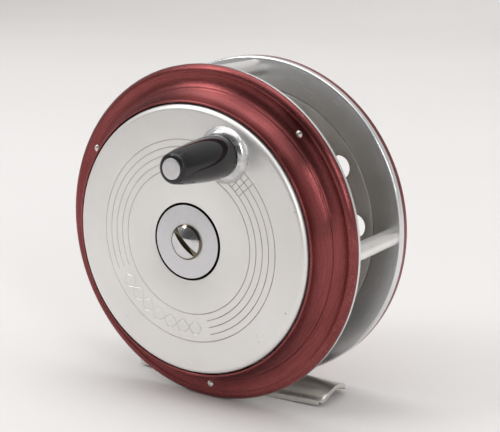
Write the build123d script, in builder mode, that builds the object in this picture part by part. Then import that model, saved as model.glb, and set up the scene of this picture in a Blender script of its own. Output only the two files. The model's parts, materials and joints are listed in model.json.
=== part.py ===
from build123d import *
import os
from math import acos, cos, pi, radians, sin, sqrt, tan

# Geared fly-fishing reel, in millimetres, +Z up.
# It stands on its foot and on the rims of its two side plates. The origin is on the
# ground, under the middle of its box. The spin axis runs along Y, the crank faces -Y,
# and the rod would run along X under the foot.

# ---- Frame ------------------------------------------------------------------
reel_radius = 46.0           # both side plates
plate_spacing = 22.6         # clear width between the side plates
front_plate_thickness = 1.2
back_rim_thickness = 1.9     # back plate, at its rim
rim_bead = 0.6               # rounding of the back plate's rim
back_floor_thickness = 0.8   # back plate, behind the spool's rear flange
back_cover_thickness = 2.2
pillar_radius = 2.3
pillar_inset = 3.2           # rim of the plates to a pillar's centre
pillar_angles = {"right": 0, "top": 90, "left": 180}
tenon_radius = 1.3
press_gap = 0.02             # radial gap of a pressed or riveted piece

# ---- Front cover (the stepped ring round the crank disc) ---------------------
cover_width = 9.2            # rim to lip, measured along the radius
cover_height = 8.7           # lip above the front plate
cover_step = 2.1             # foot of the ledge between the two coves, above the front plate
ledge_height = 0.7
ledge_inset = 6.0            # rim to that ledge, along the radius
rim_flat = 0.5               # straight edge under the rounded rim
rim_top = 1.7                # crown of the rounded rim above the front plate
rim_round = 1.9              # width of the rounded rim
outer_cove_depth = 0.45      # sag of each cove under its chord
inner_cove_depth = 0.6
lip_round = 0.3
head_seat = 1.3              # seat of the rivet heads above the front plate
rivet_inset = 4.1            # rim to a cover rivet's centre
rivet_radius = 0.8
rivet_head_radius = 1.1
rivet_head_height = 0.45
rivet_head_edge = 0.25       # straight edge under the dome
cover_rivet_angles = (46, 151, 272)
back_rivet_angles = (30, 150, 270)

# ---- Crank disc -------------------------------------------------------------
disc_gap = 0.4               # between the disc and the cover's lip
disc_stand = 9.7             # disc's face above the front plate
disc_thickness = 1.6
disc_edge_round = 1.5
skirt_wall = 2.0
hub_recess_radius = 10.5
hub_boss_wall = 2.0          # boss behind the disc, beyond the recess
hub_boss_thickness = 1.0
crank_bush_radius = 6.0
crank_bush_length = 4.2
groove_width = 0.3
groove_depth = 0.2
groove_inset = 9.1           # disc's edge to the outermost groove
groove_pitch = 1.9
groove_count = 5
panel_angles = (205, 287)    # blank stretch in the middle grooves
fret_angles = (41, 45, 49)

# ---- Hub fastening ----------------------------------------------------------
spindle_radius = 2.5
running_gap = 0.05           # radial gap of a bush on its spindle
end_float = 0.1              # axial gap of a turning piece
washer_gap = 0.5
washer_thickness = 1.6
hub_screw_radius = 4.8
hub_screw_dome = 1.7
hub_screw_edge = 0.35
hub_screw_slot = 1.6
hub_screw_slot_floor = 0.55  # slot's floor above the washer
hub_screw_slot_angle = -44
hub_screw_shank_radius = 1.3
hub_screw_shank_length = 8.0
screw_end_gap = 0.5          # end of the screw to the bottom of its hole

# ---- Handle -----------------------------------------------------------------
handle_inset = 9.15          # disc's edge to the handle's centre
handle_angle = 64
handle_reach = 22.7          # disc's face to the end of the handle
collar_radius = 7.45
collar_height = 2.3
collar_edge = 0.3            # straight edge under the dome
knob_base_radius = 5.6
knob_tip_radius = 3.8
knob_end_round = 0.9
knob_float = 0.3
handle_pin_radius = 1.7
handle_tenon_radius = 1.2
pin_head_radius = 2.65
pin_head_thickness = 0.9
pin_head_gap = 0.12
pin_head_stand = 0.15        # head proud of the knob's end

# ---- Gear train -------------------------------------------------------------
ring_teeth = 60
idler_teeth = 18
pinion_teeth = 24
idler_angles = (90, 210, 330)
pressure_angle = radians(20)
addendum = 0.8               # in modules
dedendum = 1.05              # in modules
backlash = 0.16
ring_wall = 3.35             # metal behind the ring gear's teeth
gear_stand = 2.4             # gears' rear face above the front plate
gear_width = 3.2
stud_radius = 2.0
stud_collar = 1.2            # stud's shoulder and head, proud of its journal
stud_head_thickness = 0.6
neck_clearance = 0.5         # pinion's neck in the front plate's hole

# ---- Spool ------------------------------------------------------------------
flange_inset = 8.5           # rim of the plates to the edge of a flange
front_flange_gap = 0.4
front_flange_thickness = 1.0
rear_flange_thickness = 0.8
rear_flange_gap = 0.3        # round and behind the rear flange
arbor_radius = 18.0
arbor_wall = 1.0
arbor_lip = 1.2              # flange's spigot inside the arbor
spool_bush_radius = 6.0
vent_radius = 3.4
vent_inset = 5.8             # edge of the flange to a vent's centre
vent_count = 12
vent_start = 3

# ---- Click check, inside the arbor ------------------------------------------
boss_radius = 5.5
boss_length = 3.2
ratchet_teeth = 18
ratchet_tooth_depth = 1.0
ratchet_thickness = 1.4
pawl_length = 4.08           # stud's centre to the pawl's point
pawl_half_width = 1.5
pawl_angle = 60
pawl_gap = 0.12              # pawl's point to the ratchet's tips
pawl_back_radius = 1.8
pawl_flat = 0.2              # flat on the pawl's back
pawl_stud_radius = 1.0
pawl_stud_head = 0.5
spring_gap = 0.45            # pawl's back to the leaf spring
spring_thickness = 0.4
spring_arbor_gap = 1.15      # leaf spring to the inside of the arbor
spring_half_angle = 36
post_radius = 0.9
post_half_angle = 32

# ---- Back cover -------------------------------------------------------------
back_field_inset = 7.2       # rim to the sunk field
back_field_depth = 0.5
nut_recess_radius = 6.2
nut_radius = 4.6
nut_height = 1.4
nut_edge = 0.4
nut_slot = 1.0
nut_slot_depth = 0.6
cover_floor = 0.6

# ---- Foot -------------------------------------------------------------------
foot_length = 63.8
foot_width = 15.2
foot_end_width = 13.8
foot_thickness = 1.3
foot_corner = 2.6
foot_gap = 0.8               # foot's long edge to the back plate
rod_seat_radius = 10.5       # concave underside
bridge_length = 14.0         # block that joins the foot to the plates, along X
bridge_spool_gap = 0.5
bridge_tenon_spacing = 9.0
bridge_tenon_radius = 1.2
bridge_drop = 1.2            # block's underside below the foot's crown, before it is hollowed
foot_rivet_radius = 1.4
foot_rivet_spacing = 9.0

# ---- Places worked out from the sizes ---------------------------------------
axis_height = reel_radius
rear_reach = front_plate_thickness + plate_spacing + back_rim_thickness + back_cover_thickness
front_reach = disc_stand + handle_reach
plate_front_y = (front_reach - rear_reach) / 2
plate_back_y = plate_front_y + front_plate_thickness
back_face_y = plate_back_y + plate_spacing
cover_front_y = back_face_y + back_rim_thickness
rear_y = cover_front_y + back_cover_thickness
disc_face_y = plate_front_y - disc_stand
disc_rear_y = disc_face_y + disc_thickness
gear_rear_y = plate_front_y - gear_stand
gear_front_y = gear_rear_y - gear_width
washer_rear_y = disc_rear_y - end_float
washer_front_y = washer_rear_y - washer_thickness

lip_radius = reel_radius - cover_width
lip_y = plate_front_y - cover_height
ledge_radius = reel_radius - ledge_inset
head_seat_y = plate_front_y - head_seat
disc_radius = lip_radius - disc_gap
ring_outer_radius = disc_radius - skirt_wall
gear_module = (ring_outer_radius - ring_wall) / (ring_teeth / 2 + dedendum)
idler_circle = gear_module * (pinion_teeth + idler_teeth) / 2
pinion_root_radius = gear_module * (pinion_teeth / 2 - dedendum)
neck_radius = pinion_root_radius - neck_clearance
handle_circle = disc_radius - handle_inset
handle_x = handle_circle * cos(radians(handle_angle))
handle_z = handle_circle * sin(radians(handle_angle))
handle_end_y = disc_face_y - handle_reach
flange_radius = reel_radius - flange_inset
arbor_inner_radius = arbor_radius - arbor_wall
spring_radius = arbor_inner_radius - spring_arbor_gap - spring_thickness
pawl_circle = spring_radius - spring_gap - pawl_back_radius
ratchet_tip_radius = pawl_circle - pawl_length - pawl_gap
ratchet_root_radius = ratchet_tip_radius - ratchet_tooth_depth
post_circle = spring_radius - post_radius - press_gap
vent_circle = flange_radius - vent_inset
pillar_circle = reel_radius - pillar_inset
rivet_circle = reel_radius - rivet_inset
front_flange_y = plate_back_y + front_flange_gap
front_flange_back_y = front_flange_y + front_flange_thickness
recess_floor_y = back_face_y + rear_flange_thickness + rear_flange_gap
boss_front_y = recess_floor_y - boss_length
spool_bush_end_y = boss_front_y - rear_flange_gap
ratchet_rear_y = spool_bush_end_y - end_float
counterbore_y = disc_rear_y + crank_bush_length + 4 * end_float
foot_y = back_face_y - foot_gap - foot_width / 2
seat_rise = rod_seat_radius - sqrt(rod_seat_radius**2 - (foot_width / 2) ** 2)
arch_center_z = seat_rise - rod_seat_radius
crown_z = seat_rise + foot_thickness
bridge_top_z = axis_height - flange_radius - bridge_spool_gap
bridge_tenon_z = bridge_top_z - bridge_tenon_radius - 0.4


# ---- Work planes ------------------------------------------------------------
def front_view(y, x=0.0, z=0.0):
    """Plane across the spin axis at y, seen from the front: extrusions go forward (-Y)."""
    return Plane(origin=(x, y, axis_height + z), x_dir=(1, 0, 0), z_dir=(0, -1, 0))


def turning_plane(x=0.0, z=0.0):
    """Plane through an axis parallel to the spin axis: local x is the radius, local y is Y."""
    return Plane(origin=(x, 0, axis_height + z), x_dir=(1, 0, 0), z_dir=(0, 0, 1))


def turning_axis(x=0.0, z=0.0):
    return Axis((x, 0, axis_height + z), (0, 1, 0))


def on_circle(radius, angles):
    """Local points on a circle round the spin axis; angles run from +X towards +Z."""
    return [(radius * cos(radians(a)), radius * sin(radians(a))) for a in angles]


def dome(radius, base_y, height):
    """Arc of a spherical cap, from its edge to its top on the axis; a negative height faces -Y."""
    sphere = (radius**2 + height**2) / (2 * height)
    half_angle = acos(1 - height / sphere) / 2
    middle_y = base_y + height - sphere + sphere * cos(half_angle)
    return ThreePointArc(
        (radius, base_y), (abs(sphere) * sin(half_angle), middle_y), (0, base_y + height))


def gear_outline(teeth, tip_radius, root_radius, tooth_width):
    """Involute gear outline with its first tooth on local +Y."""
    pitch_radius = gear_module * teeth / 2
    base_radius = pitch_radius * cos(pressure_angle)
    start_radius = max(root_radius, base_radius)
    involute_at_pitch = tan(pressure_angle) - pressure_angle

    def half_angle(radius):
        roll = acos(base_radius / radius)
        return tooth_width / (2 * pitch_radius) + involute_at_pitch - (tan(roll) - roll)

    def corner(radius, side, at_radius=None):
        angle = pi / 2 + side * half_angle(at_radius or radius)
        return (radius * cos(angle), radius * sin(angle))

    middle_radius = (start_radius + tip_radius) / 2
    foot_radius = root_radius - 0.3 * gear_module
    with BuildSketch() as tooth:
        with BuildLine():
            right = ThreePointArc(
                corner(start_radius, -1), corner(middle_radius, -1), corner(tip_radius, -1))
            left = ThreePointArc(
                corner(start_radius, 1), corner(middle_radius, 1), corner(tip_radius, 1))
            Line(right @ 1, left @ 1)
            right_foot = Line(right @ 0, corner(foot_radius, -1, start_radius))
            left_foot = Line(left @ 0, corner(foot_radius, 1, start_radius))
            Line(right_foot @ 1, left_foot @ 1)
        make_face()
    with BuildSketch() as outline:
        Circle(root_radius)
        with PolarLocations(0, teeth):
            add(tooth.sketch)
    return outline.sketch


def external_gear(teeth):
    pitch_radius = gear_module * teeth / 2
    return gear_outline(
        teeth, pitch_radius + addendum * gear_module, pitch_radius - dedendum * gear_module,
        pi * gear_module / 2 - backlash / 2)


def save(piece, name):
    piece.part.label = name
    export_step(piece.part, f"parts/{name}.step")


os.makedirs("parts", exist_ok=True)

# ==== Frame ==================================================================

bridge_tenons = [
    (side * bridge_tenon_spacing / 2, bridge_tenon_z - axis_height) for side in (-1, 1)]
pillar_points = on_circle(pillar_circle, pillar_angles.values())
stud_points = on_circle(idler_circle, idler_angles)

# Front plate: thin silver disc that carries the idler studs.
with BuildPart() as front_plate:
    with BuildSketch(front_view(plate_back_y)):
        Circle(reel_radius)
        Circle(neck_radius + neck_clearance, mode=Mode.SUBTRACT)
        with Locations(*pillar_points):
            Circle(tenon_radius + press_gap, mode=Mode.SUBTRACT)
        with Locations(*bridge_tenons):
            Circle(bridge_tenon_radius + press_gap, mode=Mode.SUBTRACT)
        with Locations(*stud_points):
            Circle(stud_radius + press_gap, mode=Mode.SUBTRACT)
        with Locations(*on_circle(rivet_circle, cover_rivet_angles)):
            Circle(rivet_radius + press_gap, mode=Mode.SUBTRACT)
    extrude(amount=front_plate_thickness)
save(front_plate, "front_plate")

# Front cover: turned ring with a rounded rim and two coves that climb to its lip.
with BuildPart() as front_cover:
    with BuildSketch(turning_plane()):
        with BuildLine():
            rim = Line((reel_radius, plate_front_y), (reel_radius, plate_front_y - rim_flat))
            rim_arc = ThreePointArc(
                rim @ 1,
                (reel_radius - 0.3 * rim_round, plate_front_y - rim_flat - 0.72 * (rim_top - rim_flat)),
                (reel_radius - rim_round, plate_front_y - rim_top))
            outer_cove = SagittaArc(
                rim_arc @ 1, (ledge_radius, plate_front_y - cover_step), -outer_cove_depth)
            crest_y = plate_front_y - cover_step - ledge_height
            ledge = Line(outer_cove @ 1, (ledge_radius - 0.1, crest_y + 0.1))
            crest = Line(ledge @ 1, (ledge_radius - 0.4, crest_y))
            inner_cove = SagittaArc(
                crest @ 1, (lip_radius + 2 * lip_round, lip_y + lip_round), -inner_cove_depth)
            lip_arc = ThreePointArc(
                inner_cove @ 1,
                (lip_radius + 1.4 * lip_round, lip_y + 0.2 * lip_round),
                (lip_radius + lip_round / 2, lip_y))
            lip = Line(lip_arc @ 1, (lip_radius, lip_y + lip_round / 2))
            wall = Line(lip @ 1, (lip_radius, plate_front_y))
            Line(wall @ 1, rim @ 0)
        make_face()
    revolve(axis=turning_axis())
    with BuildSketch(front_view(plate_front_y)):
        with Locations(*on_circle(rivet_circle, cover_rivet_angles)):
            Circle(rivet_radius + press_gap)
    extrude(amount=cover_height, mode=Mode.SUBTRACT)
    with BuildSketch(front_view(head_seat_y)):
        with Locations(*on_circle(rivet_circle, cover_rivet_angles)):
            Circle(rivet_head_radius + press_gap)
    extrude(amount=cover_height, mode=Mode.SUBTRACT)
save(front_cover, "front_cover")

# Rivets that hold the front cover to its plate, with domed heads.
with BuildPart() as cover_rivets:
    for px, pz in on_circle(rivet_circle, cover_rivet_angles):
        with BuildSketch(turning_plane(px, pz)):
            with BuildLine():
                shank = Polyline(
                    (0, plate_back_y), (rivet_radius, plate_back_y),
                    (rivet_radius, head_seat_y), (rivet_head_radius, head_seat_y),
                    (rivet_head_radius, head_seat_y - rivet_head_edge))
                cap = dome(rivet_head_radius, head_seat_y - rivet_head_edge, -rivet_head_height)
                Line(cap @ 1, shank @ 0)
            make_face()
        revolve(axis=turning_axis(px, pz))
save(cover_rivets, "cover_rivets")

# Pillars between the side plates, with a tenon riveted into each plate.
for side, angle in pillar_angles.items():
    (px, pz), = on_circle(pillar_circle, [angle])
    with BuildPart() as pillar:
        with BuildSketch(front_view(back_face_y, px, pz)):
            Circle(pillar_radius)
        extrude(amount=plate_spacing)
        with BuildSketch(front_view(cover_front_y, px, pz)):
            Circle(tenon_radius)
        extrude(amount=cover_front_y - plate_front_y)
    save(pillar, f"pillar_{side}")

# Back plate: silver dish with a rounded rim; the spool's rear flange lies flush in it.
click_holes = on_circle(pawl_circle, [pawl_angle])
post_points = on_circle(post_circle, [pawl_angle - post_half_angle, pawl_angle + post_half_angle])
with BuildPart() as back_plate:
    with BuildSketch(turning_plane()):
        with BuildLine():
            bore = Line((spindle_radius + press_gap, cover_front_y), (reel_radius, cover_front_y))
            edge = Line(bore @ 1, (reel_radius, back_face_y + rim_bead))
            bead = ThreePointArc(
                edge @ 1,
                (reel_radius - 0.3 * rim_bead, back_face_y + 0.3 * rim_bead),
                (reel_radius - rim_bead, back_face_y))
            recess_r = flange_radius + rear_flange_gap
            Polyline(
                bead @ 1, (recess_r, back_face_y), (recess_r, recess_floor_y),
                (boss_radius, recess_floor_y), (boss_radius, boss_front_y),
                (spindle_radius + press_gap, boss_front_y), bore @ 0)
        make_face()
    revolve(axis=turning_axis())
    with BuildSketch(front_view(cover_front_y)):
        with PolarLocations(vent_circle, vent_count, start_angle=vent_start):
            Circle(vent_radius)
        with Locations(*pillar_points):
            Circle(tenon_radius + press_gap)
        with Locations(*bridge_tenons):
            Circle(bridge_tenon_radius + press_gap)
        with Locations(*on_circle(rivet_circle, back_rivet_angles)):
            Circle(rivet_radius + press_gap)
        with Locations(*click_holes):
            Circle(pawl_stud_radius + press_gap)
        with Locations(*post_points):
            Circle(post_radius + press_gap)
    extrude(amount=cover_front_y - back_face_y, mode=Mode.SUBTRACT)
save(back_plate, "back_plate")

# Back cover: red disc with a flat outer band to rest on and a sunk field with the vents.
field_radius = reel_radius - back_field_inset
field_y = rear_y - back_field_depth
nut_floor_y = cover_front_y + cover_floor
with BuildPart() as back_cover:
    with BuildSketch(turning_plane()):
        with BuildLine():
            hole = Line((spindle_radius + press_gap, cover_front_y), (reel_radius, cover_front_y))
            edge = Line(hole @ 1, (reel_radius, rear_y - 0.8))
            round_edge = ThreePointArc(
                edge @ 1, (reel_radius - 0.25, rear_y - 0.25), (reel_radius - 0.8, rear_y))
            band = Line(round_edge @ 1, (field_radius + 0.6, rear_y))
            cove = ThreePointArc(
                band @ 1,
                (field_radius + 0.15, rear_y - 0.7 * back_field_depth),
                (field_radius - 0.6, field_y))
            Polyline(
                cove @ 1, (nut_recess_radius + 0.4, field_y), (nut_recess_radius, field_y + 0.3),
                (nut_recess_radius, nut_floor_y), (spindle_radius + press_gap, nut_floor_y), hole @ 0)
        make_face()
    revolve(axis=turning_axis())
    with BuildSketch(front_view(rear_y)):
        with PolarLocations(vent_circle, vent_count, start_angle=vent_start):
            Circle(vent_radius)
        with Locations(*on_circle(rivet_circle, back_rivet_angles)):
            Circle(rivet_radius + press_gap)
    extrude(amount=back_cover_thickness, mode=Mode.SUBTRACT)
    with BuildSketch(front_view(rear_y)):
        with Locations(*on_circle(rivet_circle, back_rivet_angles)):
            Circle(rivet_head_radius + press_gap)
    extrude(amount=2 * rivet_head_height, mode=Mode.SUBTRACT)
save(back_cover, "back_cover")

# Rivets of the back cover: their heads stay below the band that the reel rests on.
with BuildPart() as back_cover_rivets:
    for px, pz in on_circle(rivet_circle, back_rivet_angles):
        head_y = rear_y - 2 * rivet_head_height
        with BuildSketch(turning_plane(px, pz)):
            with BuildLine():
                shank = Polyline(
                    (0, back_face_y), (rivet_radius, back_face_y),
                    (rivet_radius, head_y), (rivet_head_radius, head_y),
                    (rivet_head_radius, head_y + rivet_head_edge))
                cap = dome(rivet_head_radius, head_y + rivet_head_edge, rivet_head_height)
                Line(cap @ 1, shank @ 0)
            make_face()
        revolve(axis=turning_axis(px, pz))
save(back_cover_rivets, "back_cover_rivets")

# ==== Foot ===================================================================

foot_rivet_points = [(side * foot_rivet_spacing / 2, foot_y) for side in (-1, 1)]

# Foot: arched plate along X whose concave underside seats on a rod.
with BuildPart() as foot:
    with BuildSketch(Plane.YZ):
        with Locations((foot_y, arch_center_z)):
            Circle(rod_seat_radius + foot_thickness)
            Circle(rod_seat_radius, mode=Mode.SUBTRACT)
        with Locations((foot_y, crown_z / 2)):
            Rectangle(foot_width, crown_z, mode=Mode.INTERSECT)
    extrude(amount=foot_length / 2, both=True)
    top_edges = foot.edges().filter_by(Axis.X).group_by(Axis.Z)[1]
    fillet(top_edges, radius=0.45 * foot_thickness)
    with BuildSketch():
        with BuildLine():
            Polyline(
                (-foot_length / 2, foot_y - foot_end_width / 2),
                (-bridge_length, foot_y - foot_width / 2),
                (bridge_length, foot_y - foot_width / 2),
                (foot_length / 2, foot_y - foot_end_width / 2),
                (foot_length / 2, foot_y + foot_end_width / 2),
                (bridge_length, foot_y + foot_width / 2),
                (-bridge_length, foot_y + foot_width / 2),
                (-foot_length / 2, foot_y + foot_end_width / 2),
                close=True)
        make_face()
        fillet(vertices().group_by(Axis.X)[0] + vertices().group_by(Axis.X)[-1], radius=foot_corner)
    extrude(amount=crown_z, mode=Mode.INTERSECT)
    with BuildSketch():
        with Locations(*foot_rivet_points):
            Circle(foot_rivet_radius + press_gap)
    extrude(amount=crown_z, mode=Mode.SUBTRACT)
save(foot, "foot")

# Bridge: block over the foot, with two tenons in each side plate.
with BuildPart() as foot_bridge:
    with BuildSketch(Plane.XY.offset(crown_z - bridge_drop)):
        with Locations((0, (plate_back_y + back_face_y) / 2)):
            Rectangle(bridge_length, plate_spacing)
    extrude(amount=bridge_top_z - crown_z + bridge_drop)
    fillet(foot_bridge.edges().filter_by(Axis.Y).group_by(Axis.Z)[-1], radius=0.8)
    with BuildSketch(Plane.YZ):
        with Locations((foot_y, arch_center_z)):
            Circle(rod_seat_radius + foot_thickness + press_gap)
    extrude(amount=bridge_length, both=True, mode=Mode.SUBTRACT)
    for tenon_rear_y, tenon_length in (
            (plate_back_y, front_plate_thickness), (cover_front_y, back_rim_thickness)):
        with BuildSketch(front_view(tenon_rear_y)):
            with Locations(*bridge_tenons):
                Circle(bridge_tenon_radius)
        extrude(amount=tenon_length)
    with BuildSketch():
        with Locations(*foot_rivet_points):
            Circle(foot_rivet_radius + press_gap)
    extrude(amount=bridge_top_z, mode=Mode.SUBTRACT)
save(foot_bridge, "foot_bridge")

# Rivets through the crown of the foot and the bridge.
with BuildPart() as foot_rivets:
    with BuildSketch(Plane.XY.offset(seat_rise)):
        with Locations(*foot_rivet_points):
            Circle(foot_rivet_radius)
    extrude(amount=bridge_top_z - seat_rise)
save(foot_rivets, "foot_rivets")

# ==== Spindle and hub ========================================================

# Spindle: fixed in the back plate's boss; the spool and the crank turn on it.
with BuildPart() as spindle:
    with BuildSketch(front_view(nut_floor_y)):
        Circle(spindle_radius)
    extrude(amount=nut_floor_y - washer_rear_y)
    with BuildSketch(front_view(washer_rear_y + hub_screw_shank_length)):
        Circle(hub_screw_shank_radius + press_gap)
    extrude(amount=hub_screw_shank_length, mode=Mode.SUBTRACT)
save(spindle, "spindle")

# Slotted domed button that closes the spindle's rear end.
with BuildPart() as spindle_nut:
    with BuildSketch(turning_plane()):
        with BuildLine():
            base = Line((0, nut_floor_y), (nut_radius, nut_floor_y))
            Line(base @ 1, (nut_radius, nut_floor_y + nut_edge))
            cap = dome(nut_radius, nut_floor_y + nut_edge, nut_height - nut_edge)
            Line(cap @ 1, base @ 0)
        make_face()
    revolve(axis=turning_axis())
    with BuildSketch(front_view(nut_floor_y + nut_height)):
        Rectangle(3 * nut_radius, nut_slot)
    extrude(amount=nut_slot_depth, mode=Mode.SUBTRACT)
save(spindle_nut, "spindle_nut")

# Washer in the disc's recess: it keeps the crank on the spindle.
with BuildPart() as hub_washer:
    with BuildSketch(front_view(washer_rear_y)):
        Circle(hub_recess_radius - washer_gap)
        Circle(hub_screw_shank_radius + press_gap, mode=Mode.SUBTRACT)
    extrude(amount=washer_thickness)
    fillet(hub_washer.edges().filter_by(GeomType.CIRCLE).group_by(Axis.Y)[0].sort_by(SortBy.RADIUS)[-1:],
           radius=0.25)
save(hub_washer, "hub_washer")

# Domed, slotted screw into the end of the spindle.
with BuildPart() as hub_screw:
    with BuildSketch(turning_plane()):
        with BuildLine():
            shank = Polyline(
                (0, washer_rear_y + hub_screw_shank_length - screw_end_gap),
                (hub_screw_shank_radius, washer_rear_y + hub_screw_shank_length - screw_end_gap),
                (hub_screw_shank_radius, washer_front_y), (hub_screw_radius, washer_front_y),
                (hub_screw_radius, washer_front_y - hub_screw_edge))
            cap = dome(hub_screw_radius, washer_front_y - hub_screw_edge, hub_screw_edge - hub_screw_dome)
            Line(cap @ 1, shank @ 0)
        make_face()
    revolve(axis=turning_axis())
    with BuildSketch(front_view(washer_front_y - hub_screw_slot_floor)):
        Rectangle(3 * hub_screw_radius, hub_screw_slot, rotation=hub_screw_slot_angle)
    extrude(amount=hub_screw_dome, mode=Mode.SUBTRACT)
save(hub_screw, "hub_screw")

# ==== Crank ==================================================================

# Crank disc: shallow cap with a skirt round the ring gear and engraved ring grooves.
with BuildPart() as crank_disc:
    with BuildSketch(front_view(gear_rear_y)):
        Circle(disc_radius)
    extrude(amount=gear_rear_y - disc_face_y)
    with BuildSketch(front_view(gear_rear_y)):
        Circle(ring_outer_radius + press_gap)
    extrude(amount=gear_rear_y - disc_rear_y, mode=Mode.SUBTRACT)
    with BuildSketch(front_view(disc_rear_y + hub_boss_thickness)):
        Circle(hub_recess_radius + hub_boss_wall)
    extrude(amount=hub_boss_thickness + disc_thickness / 2)
    with BuildSketch(front_view(disc_rear_y)):
        Circle(hub_recess_radius)
    extrude(amount=disc_thickness, mode=Mode.SUBTRACT)
    with BuildSketch(front_view(gear_rear_y)):
        Circle(crank_bush_radius + press_gap)
    extrude(amount=gear_rear_y - disc_face_y, mode=Mode.SUBTRACT)
    front_rim = crank_disc.edges().filter_by(GeomType.CIRCLE).group_by(Axis.Y)[0].sort_by(SortBy.RADIUS)
    fillet(front_rim[-1:], radius=disc_edge_round)
    recess_rim = crank_disc.edges().filter_by(GeomType.CIRCLE).group_by(Axis.Y)[0].sort_by(SortBy.RADIUS)
    fillet(recess_rim[:1], radius=0.2)
    # Grooves: the outermost and innermost are full circles, the others skip the blank panel.
    panel_span = panel_angles[1] - panel_angles[0]
    with BuildSketch(front_view(disc_face_y + groove_depth)):
        for index in range(groove_count):
            groove_r = disc_radius - groove_inset - index * groove_pitch
            if index in (0, groove_count - 1):
                Circle(groove_r + groove_width / 2)
                Circle(groove_r - groove_width / 2, mode=Mode.SUBTRACT)
            else:
                with BuildLine():
                    CenterArc((0, 0), groove_r, panel_angles[1], 360 - panel_span)
                trace(line_width=groove_width)
        fret_inner = disc_radius - groove_inset - 3 * groove_pitch
        fret_outer = disc_radius - groove_inset
        for angle in fret_angles:
            with BuildLine():
                Line(*on_circle(fret_inner, [angle]), *on_circle(fret_outer, [angle]))
            trace(line_width=groove_width)
    extrude(amount=2 * groove_depth, mode=Mode.SUBTRACT)
    with BuildSketch(front_view(disc_rear_y, handle_x, handle_z)):
        Circle(handle_tenon_radius + press_gap)
    extrude(amount=disc_thickness, mode=Mode.SUBTRACT)
save(crank_disc, "crank_disc")

# Ring gear: internal teeth, pressed inside the disc's skirt, a tooth gap each side of +Z.
ring_pitch_radius = gear_module * ring_teeth / 2
with BuildPart() as ring_gear:
    with BuildSketch(front_view(gear_rear_y)):
        Circle(ring_outer_radius)
        add(
            gear_outline(
                ring_teeth, ring_pitch_radius + dedendum * gear_module,
                ring_pitch_radius - addendum * gear_module, pi * gear_module / 2 + backlash / 2),
            rotation=180 / ring_teeth, mode=Mode.SUBTRACT)
    extrude(amount=gear_rear_y - disc_rear_y)
save(ring_gear, "ring_gear")

# Bronze bush that carries the crank on the spindle.
with BuildPart() as crank_bush:
    with BuildSketch(front_view(disc_rear_y + crank_bush_length)):
        Circle(crank_bush_radius)
        Circle(spindle_radius + running_gap, mode=Mode.SUBTRACT)
    extrude(amount=crank_bush_length)
save(crank_bush, "crank_bush")

# ==== Handle =================================================================

collar_top_y = disc_face_y - collar_height
knob_base_y = collar_top_y - knob_float
knob_end_y = handle_end_y + pin_head_stand
pin_head_rear_y = handle_end_y + pin_head_thickness

# Domed chrome collar at the foot of the handle.
with BuildPart() as handle_collar:
    with BuildSketch(turning_plane(handle_x, handle_z)):
        with BuildLine():
            base = Line((handle_tenon_radius + press_gap, disc_face_y), (collar_radius, disc_face_y))
            edge = Line(base @ 1, (collar_radius, disc_face_y - collar_edge))
            bulge = ThreePointArc(
                edge @ 1,
                (collar_radius - 0.85, disc_face_y - collar_edge - 0.72 * (collar_height - collar_edge)),
                (collar_radius - 2.6, collar_top_y))
            top = Line(bulge @ 1, (handle_tenon_radius + press_gap, collar_top_y))
            Line(top @ 1, base @ 0)
        make_face()
    revolve(axis=turning_axis(handle_x, handle_z))
save(handle_collar, "handle_collar")

# Handle pin: riveted into the disc through the collar; its flat head holds the knob.
with BuildPart() as handle_pin:
    with BuildSketch(turning_plane(handle_x, handle_z)):
        with BuildLine():
            Polyline(
                (0, disc_rear_y), (handle_tenon_radius, disc_rear_y),
                (handle_tenon_radius, collar_top_y), (handle_pin_radius, collar_top_y),
                (handle_pin_radius, pin_head_rear_y), (pin_head_radius, pin_head_rear_y),
                (pin_head_radius, handle_end_y + 0.15), (pin_head_radius - 0.15, handle_end_y),
                (0, handle_end_y), close=True)
        make_face()
    revolve(axis=turning_axis(handle_x, handle_z))
save(handle_pin, "handle_pin")

# Knob: black, full near its base and tapering to a rounded end, free on its pin.
knob_length = knob_base_y - knob_end_y
knob_seat_y = pin_head_rear_y + end_float
with BuildPart() as handle_knob:
    with BuildSketch(turning_plane(handle_x, handle_z)):
        with BuildLine():
            bore_r = handle_pin_radius + running_gap
            base = Line((bore_r, knob_base_y), (knob_base_radius - 0.5, knob_base_y))
            shoulder = ThreePointArc(
                base @ 1,
                (knob_base_radius - 0.15, knob_base_y - 0.15),
                (knob_base_radius, knob_base_y - 0.5))
            body = Spline(
                shoulder @ 1,
                (knob_base_radius + 0.05, knob_base_y - 0.18 * knob_length),
                (knob_base_radius - 0.55, knob_base_y - 0.55 * knob_length),
                (knob_tip_radius + 0.12, knob_end_y + knob_end_round))
            nose = ThreePointArc(
                body @ 1,
                (knob_tip_radius - 0.2, knob_end_y + 0.28 * knob_end_round),
                (knob_tip_radius - 0.6, knob_end_y))
            Polyline(
                nose @ 1, (pin_head_radius + pin_head_gap, knob_end_y),
                (pin_head_radius + pin_head_gap, knob_seat_y), (bore_r, knob_seat_y), base @ 0)
        make_face()
    revolve(axis=turning_axis(handle_x, handle_z))
save(handle_knob, "handle_knob")

# ==== Gear train =============================================================

# Studs of the idlers: shoulder on the plate, journal, and a head in front.
with BuildPart() as idler_studs:
    for px, pz in stud_points:
        with BuildSketch(turning_plane(px, pz)):
            collar_r = stud_radius + stud_collar
            with BuildLine():
                Polyline(
                    (0, plate_back_y), (stud_radius, plate_back_y), (stud_radius, plate_front_y),
                    (collar_r, plate_front_y), (collar_r, gear_rear_y + end_float),
                    (stud_radius, gear_rear_y + end_float), (stud_radius, gear_front_y - end_float),
                    (collar_r, gear_front_y - end_float),
                    (collar_r, gear_front_y - end_float - stud_head_thickness),
                    (0, gear_front_y - end_float - stud_head_thickness), close=True)
            make_face()
        revolve(axis=turning_axis(px, pz))
save(idler_studs, "idler_studs")

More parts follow.
